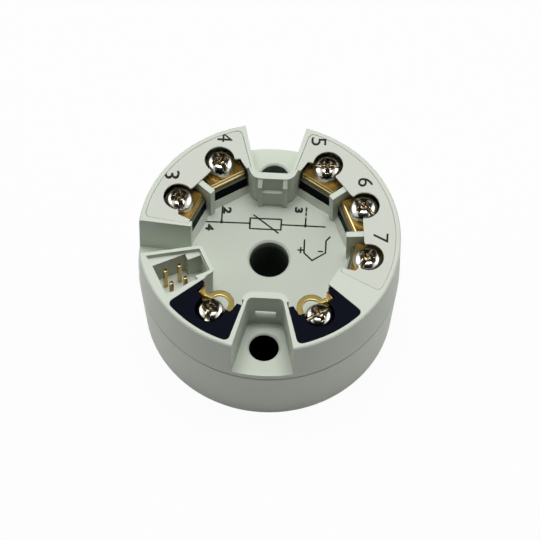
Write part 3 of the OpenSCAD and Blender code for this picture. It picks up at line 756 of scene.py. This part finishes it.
@dataclass
class Terminals:
    """Carriers, contact plates, clamp plates and screws of the seven terminals."""

    # Directions of the screw slots, in degrees from the line to the centre
    slot_turns: tuple[float, ...] = (89.6, 20.8, 128.9, 0.9, -55.4, -65.9, 67.0)
    plate_edge: float = 0.16 * MM
    loop_edge: float = 0.18 * MM
    loop_foot: float = 21.4 * MM
    loop_top: float = 22.0 * MM
    carrier_edge: float = 0.1 * MM
    clamp_front: float = 14.25 * MM
    groove_pitch: float = 0.3 * MM
    groove_width: float = 0.15 * MM
    groove_depth: float = 0.11 * MM
    grooves: int = 19
    screw: TerminalScrew = field(default_factory=TerminalScrew)

    def build(self) -> None:
        """Models and dresses every terminal."""
        low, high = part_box("screw_1")
        pattern = self.screw.build(low.z, high.z - self.screw.head_height)
        for n in range(1, TERMINALS + 1):
            self._carrier(n)
            self._plates(n)
            if n <= FRONT_TERMINALS:
                self._loop(n)
            self._screw(n, pattern)
        bpy.data.objects.remove(pattern.piece)

    def _carrier(self, n: int) -> None:
        """Softens and dresses a carrier; a black one has its top painted paler, a painted
        highlight.

        Args:
            n: The terminal's number.
        """
        node = f"carrier_{n}"
        bench = softened(node, node + "_moulded", self.carrier_edge)
        if n <= FRONT_TERMINALS:
            bench.finished(NAVY, "housing", Slot.CARRIER_NAVY, node)
        else:
            top = self._face(node)
            # Painted highlight: the top face takes a paler olive
            bench.inlaid(BLACK, (HIGHLIGHT_TOP, lambda c: c.z > top - TOUCH))
            bench.finished(None, "housing", Slot.CARRIER_BLACK, node)

    def _plates(self, n: int) -> None:
        """Softens and dresses a terminal's contact plate and clamp plate.

        Args:
            n: The terminal's number.
        """
        for node, body in ((f"contact_plate_{n}", "housing"), (f"clamp_plate_{n}", f"clamp_{n}")):
            bench = softened(node, node + "_stamped", self.plate_edge, segments=1)
            if n > FRONT_TERMINALS and body != "housing":
                bench.cut(self._comb(n))
            top = self._face(node)
            # Painted light: the top face takes a dark brass, a painted dark reflection, and the
            # chamfer a pale brass, a painted highlight
            bench.inlaid(SATIN, (PAINTED_DARK_TOP_BRASS, lambda c: c.z > top - TOUCH),
                         (BRASS, lambda c: c.z > top - self.plate_edge))
            bench.finished(None, body, Slot.BRASS, node)

    def _loop(self, n: int) -> None:
        """Softens and dresses a lug loop, whose ear and foot, above and below its band, take a
        darker brass.

        Args:
            n: The terminal's number.
        """
        node = f"lug_loop_{n}"
        bench = softened(node, node + "_stamped", self.loop_edge)
        bench.inlaid(LOOP, (DARKER_BRASS, lambda c: not self.loop_foot < c.z < self.loop_top))
        bench.finished(None, "housing", Slot.BRASS, node)

    @staticmethod
    def _face(node: str) -> float:
        """Returns the height of a node's upper face."""
        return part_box(node)[1].z

    def _comb(self, n: int) -> Bench:
        """Makes the cutter for the row of grooves in the front of a clamp plate.

        Args:
            n: The terminal's number.

        Returns:
            The bench with the cutter.
        """
        low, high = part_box(f"clamp_plate_{n}")
        start = -self.groove_pitch * (self.grooves - 1) / 2 - self.groove_width / 2
        bench = Bench.block("comb_cutter",
                            Vector((self.clamp_front - OVERRUN, start, low.z - OVERRUN)),
                            Vector((self.clamp_front + self.groove_depth,
                                    start + self.groove_width, high.z - self.plate_edge)))
        bench.modify("ARRAY", count=self.grooves, use_relative_offset=False,
                     use_constant_offset=True,
                     constant_offset_displace=(0, self.groove_pitch, 0))
        x, y = terminal_place(n)
        return bench.place(Matrix.Rotation(math.atan2(y, x), 4, "Z"))

    def _screw(self, n: int, pattern: Bench) -> None:
        """Sets a copy of the screw in terminal n.

        Args:
            n: The terminal's number.
            pattern: The bench with the modelled screw.
        """
        x, y = terminal_place(n)
        turn = math.atan2(y, x) + math.radians(self.slot_turns[n - 1])
        placed = Matrix.Translation((x, y, 0)) @ Matrix.Rotation(turn, 4, "Z")
        pattern.copied(f"screw_{n}_turned").place(placed).finished(
            None, f"screw_{n}", Slot.NICKEL, f"screw_{n}")


@dataclass
class ServiceSocket:
    """The socket's base and its four pins."""

    pin_edge: float = 0.07 * MM

    def build(self) -> None:
        """Dresses the base, and softens and dresses the pins."""
        dress("pin_header", HOUSING)
        softened("contact_pins", "contact_pins_plated", self.pin_edge).finished(
            GOLD, "housing", Slot.PIN, "contact_pins")


@dataclass
class Electronics:
    """The parts inside the closed housing."""

    finishes: tuple[tuple[str, Finish], ...] = (
        ("circuit_board", LAMINATE), ("transformer_core", FERRITE),
        ("transformer_coil", COPPER), ("microcontroller", CHIP), ("converter_chips", CHIP),
        ("storage_capacitors", SLEEVE), ("potting_compound", RESIN))

    def build(self) -> None:
        """Dresses every inner part."""
        for node, finish in self.finishes:
            dress(node, finish)


@dataclass(frozen=True)
class Digit:
    """A printed digit: its middle in millimetres, its boldness and how wide it is drawn."""

    text: str
    x: float
    y: float
    boldness: float
    stretch: float = 1.36


@dataclass
class Print:
    """The digits at the terminals and the wiring signs on the floor of the middle."""

    ink: float = 0.02 * MM
    digit_height: float = 2.55 * MM
    small_height: float = 1.42 * MM
    digit_turn: float = math.radians(-90)
    line: float = 0.28 * MM
    line_end_share: float = 0.45
    line_end_steps: int = 4
    dot_radius: float = 0.3 * MM
    dot_rise_share: float = 1.2
    dot_inset_share: float = 0.1
    dot_sides: int = 24
    curve_steps: int = 6
    digits: tuple[Digit, ...] = (
        Digit("3", -16.97, 11.0, 0.008, 1.28), Digit("4", -8.46, 18.75, 0.0, 1.05),
        Digit("5", 7.34, 18.8, 0.004, 1.1), Digit("6", 15.6, 11.26, 0.004, 1.1),
        Digit("7", 18.6, 0.66, 0.0, 1.1))
    wire_digits: tuple[Digit, ...] = (
        Digit("2", -7.53, 8.98, 0.05), Digit("3", 4.50, 9.7, 0.05), Digit("4", -10.35, 5.55, 0.04))
    # The signs' corners and line ends, in millimetres
    resistor_low: Point = (-3.6, 5.68)
    resistor_high: Point = (1.67, 7.73)
    resistor_slash: tuple[Point, Point] = ((-3.01, 8.35), (1.22, 5.07))
    lead_ends: tuple[Point, Point] = ((-11.37, 6.61), (9.08, 6.68))
    lead_y: float = 6.7
    junctions: tuple[Point, Point] = ((-8.4, 6.69), (5.77, 6.69))
    branch_y: float = 10.01
    dashes: tuple[Point, ...] = ((6.69, 8.2), (8.7, 9.2), (9.6, 10.21))
    thermocouple: tuple[Point, ...] = (
        (5.75, 3.96), (5.79, 1.44), (7.21, 0.06), (9.41, 1.64), (9.38, 3.97), (10.01, 4.78))
    plus: tuple[tuple[Point, Point], ...] = (
        ((4.75, 1.98), (5.65, 1.98)), ((5.2, 1.5), (5.2, 2.45)))
    minus: tuple[Point, Point] = ((8.2, 1.88), (8.9, 1.88))

    def build(self) -> None:
        """Prints the digits and the signs."""
        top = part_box("label_plate_left")[1].z
        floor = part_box("carrier_3")[0].z
        for digit in self.digits:
            self._digit("digit", digit, top, self.digit_height)
        for digit in self.wire_digits:
            self._digit("wire_digit", digit, floor, self.small_height)
        self._resistor(floor)
        self._thermocouple(floor)

    def _digit(self, row: str, digit: Digit, face: float, height: float) -> None:
        """Prints one digit.

        Args:
            row: What the digit's row is called; the piece's name starts with it.
            digit: The digit.
            face: Height of the printed face.
            height: Height of the digit.
        """
        bpy.ops.object.select_all(action="DESELECT")
        bpy.ops.object.text_add()
        text = bpy.context.object.data
        text.body = digit.text
        text.align_x = "CENTER"
        text.align_y = "CENTER"
        text.resolution_u = self.curve_steps
        text.offset = digit.boldness
        bpy.ops.object.convert(target="MESH")
        piece = bpy.context.object
        piece.name = f"{row}_{digit.text}"
        bench = Bench(piece)
        tall = piece.dimensions.y
        corners = [Vector(corner) for corner in piece.bound_box]
        middle = sum(corners, Vector()) / len(corners)
        bench.place(Matrix.Rotation(self.digit_turn, 4, "Z")
                    @ Matrix.Scale(height / tall, 4) @ Matrix.Scale(digit.stretch, 4, (1, 0, 0))
                    @ Matrix.Translation(-middle))
        bench.modify("SOLIDIFY", thickness=self.ink, offset=1)
        bench.place(Matrix.Translation((digit.x * MM, digit.y * MM, face)))
        bench.finished(INK, "housing")

    def _stroke(self, name: str, z: float, start: Point, end: Point) -> None:
        """Prints one line with rounded ends.

        Args:
            name: The piece's name.
            z: Height of the printed face.
            start: Where the line starts, in millimetres.
            end: Where it ends, in millimetres.
        """
        a, b = Vector(start) * MM, Vector(end) * MM
        long, wide = (b - a).length / 2 + self.line / 2, self.line / 2
        bench = Bench.block(name, Vector((-long, -wide, 0)), Vector((long, wide, self.ink)))
        bench.pick_edges(lambda c: 0 < c.z < self.ink)
        bench.shape(lambda: bpy.ops.mesh.bevel(
            offset=self.line * self.line_end_share, segments=self.line_end_steps))
        middle = (a + b) / 2
        angle = math.atan2(b.y - a.y, b.x - a.x)
        bench.place(Matrix.Translation((middle.x, middle.y, z)) @ Matrix.Rotation(angle, 4, "Z"))
        bench.finished(INK, "housing")

    def _strokes(self, name: str, z: float, lines: list[tuple[Point, Point]]) -> None:
        """Prints a sign at height z from the ends of its lines, in millimetres."""
        for i, (start, end) in enumerate(lines, 1):
            self._stroke(f"{name}_{i}", z, start, end)

    def _resistor(self, z: float) -> None:
        """Prints the sign of a resistance sensor with its leads.

        Args:
            z: Height of the printed face.
        """
        (left, low), (right, high) = self.resistor_low, self.resistor_high
        corners = [(left, low), (left, high), (right, high), (right, low)]
        start, end = self.lead_ends
        solid, dashed = self.junctions
        self._strokes("resistor_sign", z, [
            (start, (left, self.lead_y)), ((right, self.lead_y), end),
            *zip(corners, corners[1:] + corners[:1]),
            self.resistor_slash,
            (solid, (solid[0], self.branch_y)),
            *[((dashed[0], y0), (dashed[0], y1)) for y0, y1 in self.dashes]])
        for i, junction in enumerate(self.junctions, 1):
            self._dot(f"junction_dot_{i}", z, junction)

    def _dot(self, name: str, z: float, middle: Point) -> None:
        """Prints the dot where two leads meet.

        Args:
            name: The piece's name.
            z: Height of the printed face.
            middle: Its middle, in millimetres.
        """
        bench = Bench.cylinder(name, self.dot_radius, 0, self.ink * self.dot_rise_share,
                               self.dot_sides)
        bench.pick_faces(lambda c: c.z > self.ink)
        bench.shape(lambda: bpy.ops.mesh.inset(
            thickness=self.dot_radius * self.dot_inset_share))
        x, y = middle
        bench.place(Matrix.Translation((x * MM, y * MM, z))).finished(INK, "housing")

    def _thermocouple(self, z: float) -> None:
        """Prints the sign of a thermocouple with its plus and minus, at height z."""
        path = self.thermocouple
        self._strokes("thermocouple_sign", z, [*zip(path, path[1:]), *self.plus, self.minus])


@dataclass(frozen=True)
class Panel:
    """A rectangle of light or of dark cloth that faces the object."""

    name: str
    azimuth: float
    elevation: float
    distance: float
    width: float
    height: float
    watts: float = 0.0
    mirrored: bool = True
    tone: float = 0.02

    def matrix(self) -> Matrix:
        """Works out where the panel hangs.

        Returns:
            Its place, with its face towards the origin.
        """
        around, up = math.radians(self.azimuth), math.radians(self.elevation)
        away = Vector((math.cos(up) * math.cos(around), math.cos(up) * math.sin(around),
                       math.sin(up)))
        facing = (-away).to_track_quat("-Z", "Y").to_matrix().to_4x4()
        return Matrix.Translation(away * self.distance) @ facing


@dataclass
class Studio:
    """The floor, the soft lights, the white surroundings and the camera.

    The camera's place, in millimetres, and its directions come from a fit to the photograph's
    rims, notches and holes. Its directions are the picture's right, its downward side and its
    depth.
    """

    camera_place: tuple[float, float, float] = (22.4628, -488.2665, 872.4276)
    right: tuple[float, float, float] = (0.99857445, 0.0532026, 0.00430655)
    down: tuple[float, float, float] = (0.04837812, -0.86802177, -0.4941637)
    forward: tuple[float, float, float] = (-0.02255262, 0.49366759, -0.86935821)
    focal_pixels: float = 5861.69
    frame_pixels: float = 540.0
    sensor: float = 36.0
    clip_range: tuple[float, float] = (0.05, 20.0)
    floor_radius: float = 1.5
    floor_depth: float = 0.02
    floor_sides: int = 96
    floor_tone: float = 0.6
    floor_share_of_light: float = 0.04
    sky_level: float = 0.03
    lamps: tuple[Panel, ...] = (
        Panel("left light", 165, 33, 0.8, 0.66, 0.48, 1.45),
        Panel("right light", 15, 33, 0.8, 0.66, 0.48, 1.4),
        Panel("top light", 90, 87, 0.9, 0.5, 0.24, 3.5),
        Panel("ceiling light", 90, 75, 0.8, 0.45, 0.45, 3.0, mirrored=False))
    cloths: tuple[Panel, ...] = (
        Panel("front cloth", -90, 42, 0.6, 0.8, 1.08, tone=0.003),
        Panel("low front cloth", -90, 13, 0.62, 1.6, 0.28, tone=0.003),
        Panel("back cloth", 90, 39.5, 0.6, 0.84, 0.98))
    cloth_hue: Colour = (1.0, 0.8, 0.6)
    cloth_thickness: float = 2 * MM

    def build(self) -> None:
        """Sets up everything around the object."""
        bpy.context.scene.view_settings.view_transform = "Standard"
        self._camera()
        self._floor()
        self._world()
        for panel in self.lamps:
            self._lamp(panel)
        for panel in self.cloths:
            self._cloth(panel)

    def _camera(self) -> None:
        """Makes the camera at the photograph's place."""
        data = bpy.data.cameras.new("camera")
        data.sensor_width = self.sensor
        data.lens = self.focal_pixels * self.sensor / self.frame_pixels
        data.clip_start, data.clip_end = self.clip_range
        camera = bpy.data.objects.new("camera", data)
        bpy.context.scene.collection.objects.link(camera)
        columns = [Vector(self.right), -Vector(self.down), -Vector(self.forward)]
        turned = Matrix(columns).transposed().to_4x4()
        camera.matrix_world = Matrix.Translation(Vector(self.camera_place) * MM) @ turned
        bpy.context.scene.camera = camera

    def _floor(self) -> None:
        """Makes the white floor, which keeps a faint shadow."""
        bench = Bench.cylinder("floor", self.floor_radius, -self.floor_depth, 0.0,
                               self.floor_sides)
        material = bpy.data.materials.new("floor white")
        graph = Graph(material)
        matt = graph.node("ShaderNodeBsdfDiffuse", None, {"Color": (*[self.floor_tone] * 3, 1)})
        white = graph.node("ShaderNodeEmission", None, {"Color": WHITE, "Strength": 1.0})
        share = graph.seen() * (1 - self.floor_share_of_light)
        surface = graph.mix_shaders(share, matt, white)
        graph.node("ShaderNodeOutputMaterial", None, {"Surface": surface})
        bench.piece.data.materials.append(material)

    def _world(self) -> None:
        """Makes the surroundings, which are white to the eye and give a soft light."""
        world = bpy.data.worlds.new("studio")
        graph = Graph(world)
        soft, white = (
            graph.node("ShaderNodeBackground", None, {"Color": WHITE, "Strength": level})
            for level in (self.sky_level, 1.0))
        surface = graph.mix_shaders(graph.seen(), soft, white)
        graph.node("ShaderNodeOutputWorld", None, {"Surface": surface})
        bpy.context.scene.world = world

    @staticmethod
    def _lamp(panel: Panel) -> None:
        """Hangs a soft light.

        Args:
            panel: Its place, size and power.
        """
        data = bpy.data.lights.new(panel.name, "AREA")
        data.shape = "RECTANGLE"
        data.size, data.size_y = panel.width, panel.height
        data.energy = panel.watts
        lamp = bpy.data.objects.new(panel.name, data)
        bpy.context.scene.collection.objects.link(lamp)
        lamp.matrix_world = panel.matrix()
        lamp.visible_camera = False
        lamp.visible_glossy = panel.mirrored

    def _cloth(self, panel: Panel) -> None:
        """Hangs a dark cloth, which only the reflections show.

        Args:
            panel: Its place, size and tone.
        """
        colour = [panel.tone * share for share in self.cloth_hue]
        half = Vector((panel.width / 2, panel.height / 2, 0))
        bench = Bench.block(panel.name, -half, half + Vector((0, 0, self.cloth_thickness)))
        material = bpy.data.materials.new(panel.name)
        graph = Graph(material)
        matt = graph.node("ShaderNodeBsdfDiffuse", None, {"Color": (*colour, 1)})
        graph.node("ShaderNodeOutputMaterial", None, {"Surface": matt})
        bench.piece.data.materials.append(material)
        bench.place(panel.matrix())
        bench.piece.visible_camera = False
        bench.piece.visible_diffuse = False
        bench.piece.visible_shadow = False


def main() -> None:
    """Builds the sub-assemblies in order."""
    logging.basicConfig(level=logging.INFO)
    for part in (HousingShells(), Terminals(), ServiceSocket(), Electronics(), Print(), Studio()):
        LOG.info("building %s", type(part).__name__)
        part.build()


if __name__ == "__main__":
    main()
